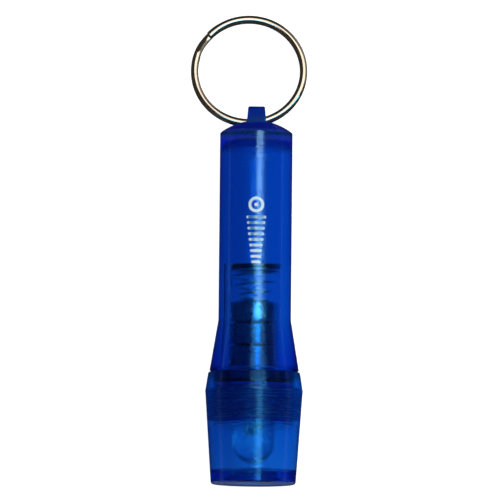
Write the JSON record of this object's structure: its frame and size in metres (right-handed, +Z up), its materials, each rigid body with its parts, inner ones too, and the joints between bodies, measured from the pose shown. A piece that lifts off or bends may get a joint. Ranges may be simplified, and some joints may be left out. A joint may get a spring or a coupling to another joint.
{
  "type": "keychain flashlight",
  "caption": "Pocket torch with a translucent barrel, twist head, button cells, LED and a split ring on a drilled tail lug.",
  "frame": {"origin": "centre of the flat front face of the lens", "axes": "+Y along the torch axis from the lens to the key ring; +Z up with the torch lying on its side; +X across the key ring"},
  "size_m": [0.028, 0.1133, 0.0234],
  "materials": {
    "blue_plastic": "translucent moulded polycarbonate, satin outside",
    "clear_plastic": "clear polished acrylic",
    "nickel_wire": "bright warm nickel plate",
    "seal_rubber": "black nitrile",
    "contact_metal": "tinned brass sheet",
    "spring_wire": "drawn spring steel",
    "cell_steel": "nickel-plated pressed steel",
    "cell_seal": "moulded nylon",
    "led_epoxy": "water-clear epoxy",
    "lead_metal": "silvered lead frame",
    "led_die": "phosphor-coated die",
    "gold_wire": "drawn gold"
  },
  "bodies": {
    "barrel": {"barrel": "blue_plastic", "o_ring": "seal_rubber", "tail_contact": "contact_metal", "battery_spring": "spring_wire", "contact_strip": "contact_metal", "cell_1_can": "cell_steel", "cell_1_seal": "cell_seal", "cell_1_cap": "cell_steel", "cell_2_can": "cell_steel", "cell_2_seal": "cell_seal", "cell_2_cap": "cell_steel", "cell_3_can": "cell_steel", "cell_3_seal": "cell_seal", "cell_3_cap": "cell_steel"},
    "ring": {"split_ring": "nickel_wire"},
    "led_module": {"led_carrier": "clear_plastic", "led_body": "led_epoxy", "led_cathode_lead": "lead_metal", "led_anode_lead": "lead_metal", "led_chip": "led_die", "led_bond_wire": "gold_wire", "front_contact": "contact_metal", "side_contact": "contact_metal"},
    "head": {"head_shell": "blue_plastic", "front_lens": "clear_plastic"}
  },
  "joints": [
    {"name": "ring_swing", "type": "hinge", "parent": "barrel", "child": "ring", "pos_m": [0, 0.087, 0], "axis": [1, 0, 0], "range_deg": [-61, 88]},
    {"name": "head_advance", "type": "slide", "parent": "barrel", "child": "led_module", "axis": [0, -1, 0], "range_m": [0, 0.00801]},
    {"name": "head_twist", "type": "hinge", "parent": "led_module", "child": "head", "pos_m": [0, 0, 0], "axis": [0, -1, 0], "range_deg": [0, 3600]}
  ],
  "couplings": [
    {"joint": "head_advance", "follows": "head_twist", "m_per_rad": 0.00012732}
  ]
}
